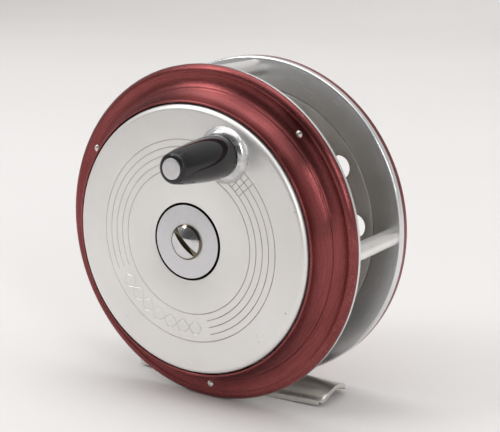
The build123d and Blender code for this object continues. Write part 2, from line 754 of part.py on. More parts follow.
# Idlers: each turned half a tooth, so that a gap faces the pinion and the ring gear.
for number, (px, pz) in enumerate(stud_points, start=1):
    with BuildPart() as idler_gear:
        with BuildSketch(front_view(gear_rear_y, px, pz)):
            add(external_gear(idler_teeth), rotation=180 / idler_teeth)
            Circle(stud_radius + running_gap, mode=Mode.SUBTRACT)
        extrude(amount=gear_width)
    save(idler_gear, f"idler_gear_{number}")

# Spool pinion: its neck passes through the front plate to the spool.
with BuildPart() as spool_pinion:
    with BuildSketch(front_view(gear_rear_y)):
        add(external_gear(pinion_teeth))
    extrude(amount=gear_width)
    with BuildSketch(front_view(front_flange_y)):
        Circle(neck_radius)
    extrude(amount=front_flange_y - gear_rear_y)
    with BuildSketch(front_view(front_flange_y)):
        Circle(spool_bush_radius + press_gap)
    extrude(amount=front_flange_y - gear_front_y, mode=Mode.SUBTRACT)
    with BuildSketch(front_view(counterbore_y)):
        Circle(crank_bush_radius + 0.5)
    extrude(amount=counterbore_y - gear_front_y, mode=Mode.SUBTRACT)
save(spool_pinion, "spool_pinion")

# ==== Spool ==================================================================

# Front flange: disc with a spigot that locates the arbor.
with BuildPart() as spool_front_flange:
    with BuildSketch(front_view(front_flange_back_y)):
        Circle(flange_radius)
    extrude(amount=front_flange_thickness)
    with BuildSketch(front_view(front_flange_back_y + arbor_lip)):
        Circle(arbor_inner_radius - press_gap)
        Circle(arbor_inner_radius - arbor_wall, mode=Mode.SUBTRACT)
    extrude(amount=arbor_lip)
    with BuildSketch(front_view(front_flange_back_y)):
        Circle(spool_bush_radius + press_gap)
    extrude(amount=front_flange_thickness, mode=Mode.SUBTRACT)
    fillet(spool_front_flange.edges().filter_by(GeomType.CIRCLE).sort_by(SortBy.RADIUS)[-2:], radius=0.3)
save(spool_front_flange, "spool_front_flange")

# Arbor: tube that the line is wound on.
with BuildPart() as spool_arbor:
    with BuildSketch(front_view(back_face_y)):
        Circle(arbor_radius)
        Circle(arbor_inner_radius, mode=Mode.SUBTRACT)
    extrude(amount=back_face_y - front_flange_back_y)
save(spool_arbor, "spool_arbor")

# Rear flange: vented annulus, flush in the back plate, open over the click check.
with BuildPart() as spool_rear_flange:
    with BuildSketch(front_view(back_face_y + rear_flange_thickness)):
        Circle(flange_radius)
        with PolarLocations(vent_circle, vent_count, start_angle=vent_start):
            Circle(vent_radius, mode=Mode.SUBTRACT)
    extrude(amount=rear_flange_thickness)
    with BuildSketch(front_view(back_face_y)):
        Circle(arbor_inner_radius - press_gap)
    extrude(amount=arbor_lip)
    with BuildSketch(front_view(back_face_y + rear_flange_thickness)):
        Circle(arbor_inner_radius - arbor_wall + 0.4)
    extrude(amount=rear_flange_thickness + arbor_lip, mode=Mode.SUBTRACT)
save(spool_rear_flange, "spool_rear_flange")

# Brass bush through the spool, on the spindle.
with BuildPart() as spool_bush:
    with BuildSketch(front_view(spool_bush_end_y)):
        Circle(spool_bush_radius)
        Circle(spindle_radius + running_gap, mode=Mode.SUBTRACT)
    extrude(amount=spool_bush_end_y - counterbore_y)
save(spool_bush, "spool_bush")

# ==== Click check ============================================================

# Ratchet wheel: symmetrical teeth, so it clicks both ways.
half_pitch = 180 / ratchet_teeth
with BuildPart() as ratchet_wheel:
    with BuildSketch(front_view(ratchet_rear_y)):
        with BuildLine():
            Polyline(
                *[point for tooth in range(ratchet_teeth) for point in (
                    on_circle(ratchet_tip_radius, [pawl_angle + 2 * tooth * half_pitch])
                    + on_circle(ratchet_root_radius, [pawl_angle + (2 * tooth + 1) * half_pitch]))],
                close=True)
        make_face()
        Circle(spool_bush_radius + press_gap, mode=Mode.SUBTRACT)
    extrude(amount=ratchet_thickness)
save(ratchet_wheel, "ratchet_wheel")

# Pawl: points at the wheel and rocks either way on its stud.
(pawl_x, pawl_z), = on_circle(pawl_circle, [pawl_angle])
with BuildPart() as pawl:
    with BuildSketch(front_view(ratchet_rear_y, pawl_x, pawl_z)):
        with Locations(Location((0, 0), pawl_angle)):
            Circle(pawl_back_radius)
            Polygon(
                (0, pawl_half_width), (-pawl_length, 0), (0, -pawl_half_width), align=None)
            with Locations((pawl_back_radius, 0)):
                Rectangle(2 * pawl_flat, 2 * pawl_back_radius, mode=Mode.SUBTRACT)
            Circle(pawl_stud_radius + running_gap, mode=Mode.SUBTRACT)
    extrude(amount=ratchet_thickness)
save(pawl, "pawl")

# Stud of the pawl: riveted in the back plate, with a shoulder behind the pawl and a head.
with BuildPart() as pawl_stud:
    with BuildSketch(turning_plane(pawl_x, pawl_z)):
        pawl_front_y = ratchet_rear_y - ratchet_thickness
        with BuildLine():
            Polyline(
                (0, cover_front_y), (pawl_stud_radius, cover_front_y),
                (pawl_stud_radius, recess_floor_y), (pawl_back_radius, recess_floor_y),
                (pawl_back_radius, ratchet_rear_y + end_float),
                (pawl_stud_radius, ratchet_rear_y + end_float),
                (pawl_stud_radius, pawl_front_y - end_float),
                (pawl_back_radius, pawl_front_y - end_float),
                (pawl_back_radius, pawl_front_y - end_float - pawl_stud_head),
                (0, pawl_front_y - end_float - pawl_stud_head), close=True)
        make_face()
    revolve(axis=turning_axis(pawl_x, pawl_z))
save(pawl_stud, "pawl_stud")

# Leaf spring: curved strip behind the pawl, held off the wheel by its two posts.
with BuildPart() as check_spring:
    with BuildSketch(front_view(ratchet_rear_y)):
        with BuildLine():
            CenterArc(
                (0, 0), spring_radius + spring_thickness / 2,
                pawl_angle - spring_half_angle, 2 * spring_half_angle)
        trace(line_width=spring_thickness)
    extrude(amount=ratchet_thickness)
save(check_spring, "check_spring")

with BuildPart() as spring_posts:
    with BuildSketch(front_view(cover_front_y)):
        with Locations(*post_points):
            Circle(post_radius)
    extrude(amount=cover_front_y - ratchet_rear_y + ratchet_thickness)
save(spring_posts, "spring_posts")
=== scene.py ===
import json
import math

import bmesh
import bpy
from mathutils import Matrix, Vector


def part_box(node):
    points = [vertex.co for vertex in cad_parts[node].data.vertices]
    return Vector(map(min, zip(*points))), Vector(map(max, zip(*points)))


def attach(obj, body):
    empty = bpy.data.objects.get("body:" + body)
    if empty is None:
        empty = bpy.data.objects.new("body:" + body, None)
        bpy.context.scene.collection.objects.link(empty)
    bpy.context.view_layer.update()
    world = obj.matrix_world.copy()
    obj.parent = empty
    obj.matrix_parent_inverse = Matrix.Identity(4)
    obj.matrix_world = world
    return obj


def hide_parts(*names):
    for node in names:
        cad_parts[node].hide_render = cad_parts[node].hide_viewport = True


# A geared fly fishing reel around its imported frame. Profiles are in millimetres, as radius
# and Y; everything that Blender gets is in metres.

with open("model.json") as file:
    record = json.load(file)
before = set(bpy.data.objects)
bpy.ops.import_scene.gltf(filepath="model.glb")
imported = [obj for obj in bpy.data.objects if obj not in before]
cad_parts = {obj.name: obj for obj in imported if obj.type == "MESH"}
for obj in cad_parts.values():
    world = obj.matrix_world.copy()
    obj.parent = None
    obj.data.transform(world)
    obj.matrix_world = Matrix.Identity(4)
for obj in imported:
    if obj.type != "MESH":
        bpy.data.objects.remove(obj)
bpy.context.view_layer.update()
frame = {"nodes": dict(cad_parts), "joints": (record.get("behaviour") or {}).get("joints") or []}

MM = 0.001

# ---- Facts of the frame, in millimetres -------------------------------------
joints = {joint["name"]: joint for joint in frame["joints"]}


def low(node):
    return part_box(node)[0] / MM


def high(node):
    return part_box(node)[1] / MM


def centre_of(joint):
    """Where a joint's axis stands, seen along Y."""
    x, _, z = joints[joint]["pos_m"]
    return (x / MM, z / MM)


hub = centre_of("crank_spin")
handle = centre_of("knob_spin")
rim_r = high("front_plate").x
plate_front = low("front_plate").y
plate_back = high("front_plate").y
flange_back = low("spool_arbor").y
back_face = high("spool_arbor").y
cover_front = low("back_cover").y
rear = high("back_cover").y
disc_face = low("crank_disc").y
gear_rear = high("crank_disc").y
disc_rear = low("crank_bush").y
disc_r = high("crank_disc").x
flange_r = high("spool_front_flange").x
arbor_r = high("spool_arbor").x
lip_r = disc_r + 0.4             # the cover's lip stands just clear of the disc's edge
lip_y = low("front_cover").y
washer_r = high("hub_washer").x
washer_front = low("hub_washer").y
screw_r = high("hub_screw").x
screw_top = low("hub_screw").y
collar_r = (high("handle_collar").x - low("handle_collar").x) / 2
collar_top = low("handle_collar").y
knob_base = high("handle_knob").y
knob_end = low("handle_knob").y
pin_end = low("handle_pin").y
pin_head_r = (high("handle_pin").x - low("handle_pin").x) / 2

# ---- Sizes that the frame's boxes don't give, in millimetres and degrees -----
VENTS = 12
VENT_START = math.radians(3)
VENT_R = 3.4
VENT_CIRCLE = flange_r - 5.8
RIVET_CIRCLE = rim_r - 4.1
RIVET_HEAD_R = 0.95
RIVET_SHANK_R = 0.8
COVER_RIVETS = (46, 151, 272)
BACK_RIVETS = (30, 150, 270)
HEAD_SEAT = 1.3                  # cover's rivet seats, in front of the plate
BACK_HEAD_SEAT = 0.9             # back cover's rivet seats, below its rear face
GROOVE_INSET = 9.1
GROOVE_PITCH = 1.9
GROOVES = [disc_r - GROOVE_INSET - GROOVE_PITCH * k for k in range(5)]
GROOVE_W = 0.3
GROOVE_D = 0.16
PANEL = (205, 287)               # stretch where the middle grooves stop
FRET = (41, 45, 49)              # cross lines beside the handle
COVER_STEP = 2.1
LEDGE_HEIGHT = 0.7
LEDGE_R = rim_r - 6.0
RIM_FLAT = 0.5
RIM_TOP = 1.7
RIM_ROUND = 1.9
OUTER_COVE = 0.45
INNER_COVE = 0.6
WASHER_GAP = 0.5
PRESS_BORE_R = 6.02              # disc's and front flange's bores for their pressed bushes
SPINDLE_HOLE_R = 2.52
SPIGOT_R = 16.98                 # flanges' spigots in the arbor's bore
SPIGOT_H = 1.2
PILLAR_NECK_R = 1.3              # tenons in the two plates
SLOT_LENGTH = 20                 # longer than any head that it crosses


# ---- Profiles ---------------------------------------------------------------
def arc(start, middle, end, steps=10):
    """Points on the circle through three points, both ends included."""
    (ax, ay), (bx, by), (cx, cy) = start, middle, end
    d = 2 * (ax * (by - cy) + bx * (cy - ay) + cx * (ay - by))
    a2, b2, c2 = ax * ax + ay * ay, bx * bx + by * by, cx * cx + cy * cy
    ox = (a2 * (by - cy) + b2 * (cy - ay) + c2 * (ay - by)) / d
    oy = (a2 * (cx - bx) + b2 * (ax - cx) + c2 * (bx - ax)) / d
    radius = math.hypot(ax - ox, ay - oy)
    first, mid, last = (math.atan2(y - oy, x - ox) for x, y in (start, middle, end))
    turn = (last - first) % (2 * math.pi)
    if (mid - first) % (2 * math.pi) > turn:
        turn -= 2 * math.pi
    return [
        (ox + radius * math.cos(first + turn * k / steps), oy + radius * math.sin(first + turn * k / steps))
        for k in range(steps + 1)]


def cap(radius, base, height, steps=14):
    """Spherical cap from its edge to its top on the axis."""
    sphere = (radius**2 + height**2) / (2 * height)
    half = math.acos(1 - height / sphere) / 2
    middle = (abs(sphere) * math.sin(half), base + height - sphere + sphere * math.cos(half))
    return arc((radius, base), middle, (0, base + height), steps)


def rounded(corners, steps=4, closed=True):
    """Outline whose corners (r, y) stay sharp and corners (r, y, radius) become arcs."""
    points = []
    count = len(corners)
    for index, corner in enumerate(corners):
        here = Vector(corner[:2])
        if len(corner) == 2 or (not closed and index in (0, count - 1)):
            points.append(tuple(here))
            continue
        before = Vector(corners[index - 1][:2]) - here
        after = Vector(corners[(index + 1) % count][:2]) - here
        half = before.angle(after) / 2
        reach = corner[2] / math.tan(half)
        start = here + before.normalized() * reach
        end = here + after.normalized() * reach
        inward = (before.normalized() + after.normalized()).normalized()
        middle = here + inward * (corner[2] / math.sin(half) - corner[2])
        points += arc(tuple(start), tuple(middle), tuple(end), steps)
    return points


# ---- Meshes -----------------------------------------------------------------
def finish_mesh(piece, sharp=32):
    for polygon in piece.data.polygons:
        polygon.use_smooth = True
    piece.data.set_sharp_from_angle(angle=math.radians(sharp))


def new_piece(name, bm, sharp=32):
    bmesh.ops.remove_doubles(bm, verts=bm.verts, dist=1e-7)
    bmesh.ops.recalc_face_normals(bm, faces=bm.faces)
    mesh = bpy.data.meshes.new(name)
    bm.to_mesh(mesh)
    bm.free()
    piece = bpy.data.objects.new(name, mesh)
    bpy.context.scene.collection.objects.link(piece)
    finish_mesh(piece, sharp)
    return piece


def turn_profile(bm, profile, centre=hub, segments=256, closed=True):
    """Turns a profile about an axis along Y through centre."""
    rings = []
    for k in range(segments):
        a = 2 * math.pi * k / segments
        rings.append([
            bm.verts.new(((centre[0] + r * math.cos(a)) * MM, y * MM, (centre[1] + r * math.sin(a)) * MM))
            for r, y in profile])
    steps = len(profile) if closed else len(profile) - 1
    for k in range(segments):
        here, there = rings[k], rings[(k + 1) % segments]
        for i in range(steps):
            j = (i + 1) % len(profile)
            if profile[i][0] > 1e-6 or profile[j][0] > 1e-6:
                bm.faces.new((here[i], here[j], there[j], there[i]))


def lathe(name, profile, centre=hub, segments=256, closed=True, sharp=32):
    bm = bmesh.new()
    turn_profile(bm, profile, centre, segments, closed)
    bmesh.ops.dissolve_degenerate(bm, edges=bm.edges, dist=1e-8)
    return new_piece(name, bm, sharp)


def on_circle(radius, degrees, centre=hub):
    a = math.radians(degrees)
    return (centre[0] + radius * math.cos(a), centre[1] + radius * math.sin(a))


def cut(piece, cutter):
    """Takes the cutter's volume out of the piece for good."""
    boolean = piece.modifiers.new("cut", "BOOLEAN")
    boolean.object = cutter
    boolean.solver = "EXACT"
    graph = bpy.context.evaluated_depsgraph_get()
    mesh = bpy.data.meshes.new_from_object(piece.evaluated_get(graph))
    piece.modifiers.clear()
    piece.data = mesh
    bpy.data.objects.remove(cutter)
    finish_mesh(piece)


def drill(piece, centres, radius, y_front, y_back, chamfer=0.15):
    """Round holes between two faces, with both rims lightly chamfered."""
    bm = bmesh.new()
    for centre in centres:
        turn_profile(bm, [
            (0, y_front - 1), (radius + chamfer + 1, y_front - 1), (radius, y_front + chamfer),
            (radius, y_back - chamfer), (radius + chamfer + 1, y_back + 1), (0, y_back + 1)],
            centre, 48)
    cut(piece, new_piece("cutter", bm))


def pocket(piece, centres, radius, y_floor, y_mouth):
    """Round blind recesses from a mouth in front of the face to a floor."""
    bm = bmesh.new()
    for centre in centres:
        turn_profile(bm, [(0, y_mouth), (radius, y_mouth), (radius, y_floor), (0, y_floor)], centre, 48)
    cut(piece, new_piece("cutter", bm))


def sweep_groove(bm, path, width, depth):
    """Engraver's cut along a path on the disc: a shallow trough with sloping walls."""
    face = disc_face
    rings = []
    for index, point in enumerate(path):
        ahead = path[min(index + 1, len(path) - 1)]
        behind = path[max(index - 1, 0)]
        along = Vector((ahead[0] - behind[0], ahead[1] - behind[1])).normalized()
        side = Vector((-along.y, along.x))
        section = [(-0.75 * width, face - depth), (-0.5 * width, face), (-0.22 * width, face + depth),
                   (0.22 * width, face + depth), (0.5 * width, face), (0.75 * width, face - depth)]
        x, z = hub[0] + point[0], hub[1] + point[1]
        rings.append([
            bm.verts.new(((x + side.x * s) * MM, y * MM, (z + side.y * s) * MM)) for s, y in section])
    for here, there in zip(rings, rings[1:]):
        for i in range(len(here)):
            j = (i + 1) % len(here)
            bm.faces.new((here[i], here[j], there[j], there[i]))
    bm.faces.new(rings[0])
    bm.faces.new(rings[-1])


def polar_path(radius, start, end, steps):
    return [
        (radius * math.cos(math.radians(start + (end - start) * k / steps)),
         radius * math.sin(math.radians(start + (end - start) * k / steps)))
        for k in range(steps + 1)]


# ---- Node helpers -----------------------------------------------------------
class Nodes:
    """A material's node tree with short calls for the nodes that this scene uses."""

    def __init__(self, name, **surface):
        self.material = bpy.data.materials.new(name)
        self.material.use_nodes = True
        self.tree = self.material.node_tree
        self.shader = self.tree.nodes["Principled BSDF"]
        for socket, value in surface.items():
            self.shader.inputs[socket.replace("_", " ")].default_value = value
        self.object_space = self.node("ShaderNodeTexCoord").outputs["Object"]

    def node(self, kind, inputs=None, **settings):
        node = self.tree.nodes.new(kind)
        for key, value in settings.items():
            setattr(node, key, value)
        for key, value in (inputs or {}).items():
            if isinstance(value, bpy.types.NodeSocket):
                self.tree.links.new(value, node.inputs[key])
            else:
                node.inputs[key].default_value = value
        return node

    def math(self, operation, a, b=0.0, clamp=False):
        return self.node("ShaderNodeMath", {0: a, 1: b}, operation=operation, use_clamp=clamp).outputs[0]

    def noise(self, vector, scale, detail=3.0, roughness=0.5):
        settings = {"Vector": vector, "Scale": scale, "Detail": detail, "Roughness": roughness}
        return self.node("ShaderNodeTexNoise", settings).outputs["Fac"]

    def ramp(self, factor, stops):
        """Colour or grey by factor: stops are (place, colour) or (place, grey)."""
        node = self.node("ShaderNodeValToRGB", {"Fac": factor})
        elements = node.color_ramp.elements
        while len(elements) < len(stops):
            elements.new(0.5)
        for element, (place, colour) in zip(elements, stops):
            element.position = place
            shade = colour if isinstance(colour, tuple) else (colour,) * 3
            element.color = (*shade, 1)
        return node.outputs["Color"]

    def band(self, value, low_edge, high_edge, soft):
        """1 where value lies between two edges, with soft borders."""
        rising = self.node("ShaderNodeMapRange", {0: value, 1: low_edge - soft, 2: low_edge + soft})
        falling = self.node(
            "ShaderNodeMapRange", {0: value, 1: high_edge - soft, 2: high_edge + soft, 3: 1.0, 4: 0.0})
        return self.math("MULTIPLY", rising.outputs[0], falling.outputs[0])

    def mix(self, factor, a, b):
        """Colour a where factor is 0 and b where it is 1; a and b are colours or colour outputs."""
        node = self.node("ShaderNodeMix", data_type="RGBA")
        factor_in, a_in, b_in = (
            next(socket for socket in node.inputs if socket.identifier == identifier)
            for identifier in ("Factor_Float", "A_Color", "B_Color"))
        for socket, value in ((factor_in, factor), (a_in, a), (b_in, b)):
            if isinstance(value, bpy.types.NodeSocket):
                self.tree.links.new(value, socket)
            else:
                socket.default_value = (*value, 1) if isinstance(value, tuple) else value
        return next(socket for socket in node.outputs if socket.identifier == "Result_Color")

    def turned(self, centre):
        """Radius from an axis along Y and a vector that runs slowly round it, for turned metal."""
        offset = (-centre[0] * MM, 0, -centre[1] * MM)
        moved = self.node("ShaderNodeVectorMath", {0: self.object_space, 1: offset}, operation="ADD")
        parts = self.node("ShaderNodeSeparateXYZ", {0: moved.outputs[0]})
        flat = self.node("ShaderNodeCombineXYZ", {"X": parts.outputs["X"], "Z": parts.outputs["Z"]})
        radius = self.node("ShaderNodeVectorMath", {0: flat.outputs[0]}, operation="LENGTH").outputs["Value"]
        unit = self.node("ShaderNodeVectorMath", {0: flat.outputs[0]}, operation="NORMALIZE").outputs[0]
        along = self.math("ADD", radius, self.math("MULTIPLY", parts.outputs["Y"], 0.8))
        around = self.node("ShaderNodeSeparateXYZ", {0: unit})
        vector = self.node("ShaderNodeCombineXYZ", {
            "X": self.math("MULTIPLY", along, 1000.0),
            "Y": self.math("MULTIPLY", around.outputs["X"], 1.6),
            "Z": self.math("MULTIPLY", around.outputs["Z"], 1.6)}).outputs[0]
        return radius, vector, parts.outputs["Y"]

    def bump(self, height, distance, strength):
        inputs = {"Height": height, "Distance": distance, "Strength": strength}
        return self.node("ShaderNodeBump", inputs).outputs["Normal"]

    def set(self, **sockets):
        for name, value in sockets.items():
            socket = self.shader.inputs[name.replace("_", " ")]
            if isinstance(value, bpy.types.NodeSocket):
                self.tree.links.new(value, socket)
            else:
                socket.default_value = value
        return self.material

    def radial_tangent(self):
        return self.node("ShaderNodeTangent", direction_type="RADIAL", axis="Y").outputs[0]

    def edges(self, low_edge, high_edge):
        """1 on convex edges, where a finish wears first."""
        point = self.node("ShaderNodeNewGeometry").outputs["Pointiness"]
        return self.node("ShaderNodeMapRange", {0: point, 1: low_edge, 2: high_edge}).outputs[0]


def paint(piece, material):
    piece.data.materials.clear()
    piece.data.materials.append(material)


# ---- Materials --------------------------------------------------------------
def red_anodised():
    """Dark red anodised aluminium, lathe-turned, worn to specks of bare metal on its rims."""
    m = Nodes(
        "red_anodised", Metallic=1.0, Anisotropic=0.85, Anisotropic_Rotation=0.25, Coat_Weight=0.2,
        Coat_Roughness=0.32)
    radius, streak_space, _ = m.turned(hub)
    across = m.node("ShaderNodeSeparateXYZ", {0: m.object_space}).outputs["X"]
    streaks = m.noise(streak_space, 3.2, 4, 0.65)
    fine = m.noise(streak_space, 14.0, 2, 0.6)
    cloud = m.noise(m.object_space, 55, 3)
    tone = m.math("ADD", m.math("MULTIPLY", streaks, 0.6), m.math("MULTIPLY", cloud, 0.4))
    base = m.ramp(tone, [
        (0.34, (0.17, 0.036, 0.037)), (0.52, (0.235, 0.055, 0.056)), (0.70, (0.30, 0.08, 0.08))])
    specks = m.ramp(m.noise(m.object_space, 2400, 3, 0.7), [(0.57, 0.0), (0.66, 1.0)])
    patches = m.ramp(m.noise(m.object_space, 130, 3, 0.6), [(0.46, 0.1), (0.66, 1.0)])
    rim = m.band(radius, (rim_r - 1.7) * MM, (rim_r + 1) * MM, 0.0007)
    lip = m.band(radius, (lip_r - 1) * MM, (lip_r + 0.9) * MM, 0.0005)
    side = m.node("ShaderNodeMapRange", {0: across, 1: -0.01, 2: 0.03, 3: 0.25, 4: 1.0}).outputs[0]
    places = m.math("MULTIPLY", patches, m.math("ADD", rim, m.math("MULTIPLY", lip, 0.5)))
    worn = m.math("MULTIPLY", m.math("MULTIPLY", specks, places), side)
    colour = m.mix(m.math("MULTIPLY", worn, 0.65, clamp=True), base, (0.62, 0.33, 0.30))
    rough = m.math("ADD", 0.2, m.math("MULTIPLY", fine, 0.16))
    pitting = m.math("MULTIPLY", specks, m.math("MULTIPLY", worn, -0.8))
    height = m.math("ADD", m.math("MULTIPLY", fine, 0.7), pitting)
    return m.set(
        Base_Color=colour, Roughness=rough, Tangent=m.radial_tangent(),
        Normal=m.bump(height, 0.00003, 0.55))


def satin_disc():
    """Pale satin aluminium with faint clouding, hair scratches, pits, old dirt in the grooves and near-black
    painted shade in the gap round the hub washer.
    """
    m = Nodes("satin_disc", Metallic=0.9)
    radius, streak_space, depth = m.turned(hub)
    cloud = m.noise(m.object_space, 34, 4, 0.55)
    grain = m.noise(m.object_space, 2600, 2, 0.5)
    base = m.ramp(cloud, [(0.30, (0.77, 0.755, 0.735)), (0.70, (0.86, 0.85, 0.835))])
    across = m.node("ShaderNodeSeparateXYZ", {0: m.object_space}).outputs["X"]
    sunk = m.band(depth, (disc_face + 0.1) * MM, (disc_face + 0.5) * MM, 0.00002)
    inner = m.band(radius, 0.0, (disc_r - 4) * MM, 0.0002)
    side = m.node("ShaderNodeMapRange", {0: across, 1: -0.02, 2: 0.012, 3: 0.45, 4: 1.0}).outputs[0]
    dirt = m.math("MULTIPLY", m.math("MULTIPLY", sunk, inner), side)
    stain = m.ramp(m.noise(m.object_space, 210, 3), [(0.35, (0.30, 0.24, 0.17)), (0.65, (0.52, 0.46, 0.38))])
    pits = m.ramp(m.noise(m.object_space, 900, 3, 0.65), [(0.70, 0.0), (0.76, 1.0)])
    near_rim = m.band(radius, (disc_r - 4.5) * MM, (disc_r + 1) * MM, 0.0025)
    pitted = m.math("MULTIPLY", pits, m.math("ADD", m.math("MULTIPLY", near_rim, 0.6), 0.12))
    stretched = m.node(
        "ShaderNodeMapping", {"Vector": m.object_space, "Rotation": (0, 0.5, 0), "Scale": (1, 1, 26)})
    hair = m.ramp(m.noise(stretched.outputs[0], 150, 2, 0.4), [(0.66, 0.0), (0.72, 1.0)])
    # Near-black painted shade in the recess round the hub washer, where the gap lies in shadow.
    in_gap = m.math("LESS_THAN", radius, (washer_r + WASHER_GAP + 0.12) * MM)
    washer_gap_shade = m.math("MULTIPLY", in_gap, m.math("GREATER_THAN", depth, (disc_face + 0.12) * MM))
    colour = m.mix(m.math("MULTIPLY", dirt, 0.85), base, stain)
    colour = m.mix(pitted, colour, (0.20, 0.18, 0.15))
    colour = m.mix(washer_gap_shade, colour, (0.012, 0.01, 0.008))
    rough = m.math("ADD", 0.36, m.math("MULTIPLY", cloud, 0.12))
    rough = m.math("SUBTRACT", rough, m.math("MULTIPLY", hair, 0.05))
    height = m.math("SUBTRACT", m.math("MULTIPLY", grain, 0.5), m.math("MULTIPLY", pitted, 1.5))
    return m.set(Base_Color=colour, Roughness=rough, Normal=m.bump(height, 0.00003, 0.4))


def turned_metal(
        name, dark, light, rough, spread, anisotropy, tarnish, metal=1.0, scale=5.0, centre=hub,
        relief=0.35, rim_shade_radius=None):
    """Lathe-turned metal: fine rings, clouding, brown tarnish, dark specks, and past a radius a near-black
    painted shade for a shadowed gap.
    """
    m = Nodes(name, Metallic=metal, Anisotropic=anisotropy, Anisotropic_Rotation=0.25)
    radius, streak_space, _ = m.turned(centre)
    streaks = m.noise(streak_space, scale, 4, 0.65)
    cloud = m.noise(m.object_space, 60, 4, 0.6)
    tone = m.math("ADD", m.math("MULTIPLY", streaks, 0.5), m.math("MULTIPLY", cloud, 0.5))
    colour = m.ramp(tone, [(0.32, dark), (0.68, light)])
    specks = m.ramp(m.noise(m.object_space, 1500, 3, 0.7), [(0.58, 0.0), (0.63, 1.0)])
    patches = m.ramp(m.noise(m.object_space, 95, 3), [(0.42, 0.0), (0.62, 1.0)])
    soiled = m.math("MULTIPLY", m.math("MULTIPLY", specks, patches), tarnish)
    brown = m.math("MULTIPLY", patches, 0.35 * tarnish)
    colour = m.mix(brown, colour, (0.30, 0.25, 0.18))
    colour = m.mix(soiled, colour, (0.05, 0.045, 0.04))
    # Past the radius the rim is painted near-black: painted shade of the gap round the piece.
    if rim_shade_radius:
        shaded_rim = m.math("GREATER_THAN", radius, rim_shade_radius * MM)
        colour = m.mix(shaded_rim, colour, (0.012, 0.01, 0.008))
    roughness = m.math("ADD", rough, m.math("MULTIPLY", streaks, spread))
    m.set(Base_Color=colour, Roughness=roughness, Normal=m.bump(streaks, 0.00002, relief))
    if anisotropy:
        m.set(Tangent=m.radial_tangent())
    return m.material


def pitted_chrome(name, spread, gloss, grime_depth=None):
    """Chrome plate gone milky in patches, with clustered pits, and grime below a depth."""
    m = Nodes(name, Metallic=1.0)
    patches = m.ramp(m.noise(m.object_space, 320, 3, 0.6), [(0.44, 0.0), (0.60, spread)])
    cells = m.node("ShaderNodeTexVoronoi", {"Vector": m.object_space, "Scale": 2300.0}).outputs["Distance"]
    holes = m.ramp(cells, [(0.16, 1.0), (0.30, 0.0)])
    pits = m.math("MULTIPLY", holes, patches)
    colour = m.mix(m.math("MULTIPLY", patches, 0.5), (0.66, 0.66, 0.67), (0.44, 0.43, 0.42))
    colour = m.mix(m.math("MULTIPLY", pits, 0.85), colour, (0.13, 0.12, 0.11))
    if grime_depth:
        depth = m.node("ShaderNodeSeparateXYZ", {0: m.object_space}).outputs["Y"]
        grime = m.math("GREATER_THAN", depth, grime_depth * MM)
        colour = m.mix(grime, colour, (0.16, 0.14, 0.1))
    rough = m.math("ADD", gloss, m.math("MULTIPLY", patches, 0.2))
    height = m.math("MULTIPLY", pits, -1.0)
    return m.set(Base_Color=colour, Roughness=rough, Normal=m.bump(height, 0.00004, 0.7))


def black_gloss():
    """Polished black plastic with a little dust and hair scratches."""
    m = Nodes("black_gloss", IOR=1.46)
    smudge = m.noise(m.object_space, 160, 4, 0.6)
    dust = m.ramp(m.noise(m.object_space, 2400, 2, 0.6), [(0.70, 0.0), (0.76, 1.0)])
    stretched = m.node(
        "ShaderNodeMapping", {"Vector": m.object_space, "Rotation": (0.4, 0.2, 0.7), "Scale": (1, 14, 1)})
    hair = m.ramp(m.noise(stretched.outputs[0], 420, 2, 0.4), [(0.66, 0.0), (0.71, 1.0)])
    colour = m.mix(m.math("MULTIPLY", dust, 0.3), (0.012, 0.012, 0.014), (0.12, 0.115, 0.11))
    marks = m.math("ADD", m.math("MULTIPLY", smudge, 0.06), m.math("MULTIPLY", hair, 0.08))
    rough = m.math("ADD", 0.05, marks)
    return m.set(Base_Color=colour, Roughness=rough, Normal=m.bump(hair, 0.00001, 0.15))


def worn_nickel():
    """Drawn nickel plate on the foot: fine lines along X, warm grey, chipped dark at its edges."""
    m = Nodes("worn_nickel", Metallic=1.0)
    stretched = m.node("ShaderNodeMapping", {"Vector": m.object_space, "Scale": (0.03, 1, 1)})
    lines = m.noise(stretched.outputs[0], 2600, 4, 0.7)
    cloud = m.noise(m.object_space, 110, 4, 0.6)
    tone = m.math("ADD", m.math("MULTIPLY", lines, 0.45), m.math("MULTIPLY", cloud, 0.55))
    colour = m.ramp(tone, [(0.33, (0.60, 0.58, 0.545)), (0.68, (0.78, 0.76, 0.72))])
    chips = m.ramp(m.noise(m.object_space, 620, 4, 0.7), [(0.55, 0.0), (0.62, 1.0)])
    chipped = m.math("MULTIPLY", chips, m.edges(0.51, 0.55))
    colour = m.mix(m.math("MULTIPLY", chipped, 0.8), colour, (0.07, 0.06, 0.05))
    rough = m.math("ADD", 0.24, m.math("MULTIPLY", cloud, 0.18))
    return m.set(Base_Color=colour, Roughness=rough, Normal=m.bump(lines, 0.00002, 0.4))


red = red_anodised()
disc_metal = satin_disc()
plate_metal = turned_metal(
    "polished_plate", (0.78, 0.79, 0.80), (0.82, 0.83, 0.84), 0.24, 0.05, 0.4, 0.12, relief=0.02)
spool_metal = turned_metal(
    "spool_metal", (0.58, 0.56, 0.535), (0.68, 0.66, 0.63), 0.28, 0.18, 0.4, 0.55, relief=0.15)
